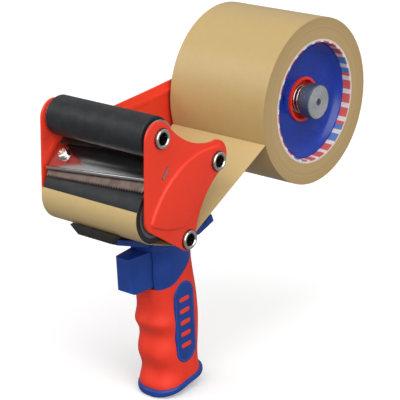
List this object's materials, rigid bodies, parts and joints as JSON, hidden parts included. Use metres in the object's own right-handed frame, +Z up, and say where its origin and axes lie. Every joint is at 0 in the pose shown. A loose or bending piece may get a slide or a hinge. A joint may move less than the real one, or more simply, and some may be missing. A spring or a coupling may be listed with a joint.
{
  "type": "hand-held packing tape dispenser",
  "caption": "Hand-held packing tape dispenser: steel side plates, rubber rollers, toothed blade with clamp, braked roll hub and a trigger handle.",
  "frame": {"origin": "centre of the lowest tie tube's bore, midway between the side plates", "axes": "+X across the tape towards the brake knob, along the tubes; +Y back towards the roll; +Z up, away from the handle"},
  "size_m": [0.0926, 0.2244, 0.2257],
  "materials": {
    "red_paint": "satin powder coat",
    "nickel": "polished nickel plate",
    "dark_steel": "dark oiled",
    "zinc_steel": "zinc plated",
    "black_rubber": "satin",
    "grey_plastic": "moulded",
    "white_plastic": "moulded",
    "blade_steel": "ground, oxidised",
    "chrome": "mirror",
    "blue_plastic": "satin gloss moulding",
    "red_plastic": "soft touch moulding",
    "shoe_rubber": "matt",
    "hub_plastic": "gloss moulding",
    "knob_zinc": "turned face, knurled rim",
    "cardboard": "printed board",
    "brown_tape": "film, slight sheen"
  },
  "bodies": {
    "frame": {"left_side_plate": "red_paint", "right_side_plate": "red_paint", "top_axle_tube": "nickel", "rear_tie_tube": "nickel", "bottom_tie_tube": "nickel", "lock_washers": "dark_steel", "roller_ear_right": "zinc_steel", "roller_ear_left": "zinc_steel", "lower_roller_axle": "zinc_steel", "top_roller_washers": "zinc_steel", "blade_bracket": "dark_steel", "blade": "blade_steel", "blade_clamp": "chrome", "blade_screws": "nickel", "blade_nuts": "zinc_steel", "handle_head": "blue_plastic", "grip_right": "red_plastic", "grip_left": "red_plastic", "grip_inlay_right": "blue_plastic", "grip_inlay_left": "blue_plastic", "end_cap": "blue_plastic", "end_cap_screw": "dark_steel", "handle_screws": "dark_steel", "trigger_pin": "zinc_steel", "trigger_spring": "dark_steel", "hub_axle": "zinc_steel", "axle_nut": "zinc_steel", "axle_spacer": "zinc_steel", "tape_web": "brown_tape"},
    "roll": {"tape_roll": "brown_tape", "cardboard_core": "cardboard", "hub": "hub_plastic", "hub_cup": "red_plastic"},
    "brake_washer": {"pressure_washer": "zinc_steel", "brake_spring": "nickel"},
    "knob": {"brake_knob": "knob_zinc"},
    "top_roller": {"top_roller_sleeve": "black_rubber", "top_roller_core": "grey_plastic", "top_roller_bushes": "white_plastic"},
    "lower_roller": {"lower_roller_sleeve": "black_rubber", "lower_roller_core": "grey_plastic", "lower_roller_bushes": "white_plastic"},
    "trigger": {"trigger_lever": "blue_plastic", "tape_shoe": "shoe_rubber"}
  },
  "joints": [
    {"name": "roll_spin", "type": "hinge", "parent": "frame", "child": "roll", "pos_m": [0, 0.1295, 0.0549], "axis": [1, 0, 0], "continuous": true},
    {"name": "lower_roller_spin", "type": "hinge", "parent": "frame", "child": "lower_roller", "pos_m": [0, -0.0235, 0.0208], "axis": [1, 0, 0], "continuous": true},
    {"name": "top_roller_spin", "type": "hinge", "parent": "frame", "child": "top_roller", "pos_m": [0, -0.0227, 0.0667], "axis": [1, 0, 0], "continuous": true},
    {"name": "brake_washer_slide", "type": "slide", "parent": "frame", "child": "brake_washer", "axis": [1, 0, 0], "range_m": [-0.00125, 0.00125], "deforming": ["brake_spring"]},
    {"name": "brake_knob_turn", "type": "hinge", "parent": "brake_washer", "child": "knob", "pos_m": [0, 0.1295, 0.0549], "axis": [1, 0, 0], "range_deg": [-360, 360]},
    {"name": "trigger_pull", "type": "hinge", "parent": "frame", "child": "trigger", "pos_m": [0, 0.012, -0.0215], "axis": [1, 0, 0], "range_deg": [0, 6], "stiffness_Nm_per_rad": 1.2, "springref_deg": -3.44, "deforming": ["trigger_spring"]}
  ],
  "couplings": [
    {"joint": "lower_roller_spin", "follows": "roll_spin", "ratio": -3.1647},
    {"joint": "brake_knob_turn", "follows": "brake_washer_slide", "rad_per_m": 5026.5}
  ]
}
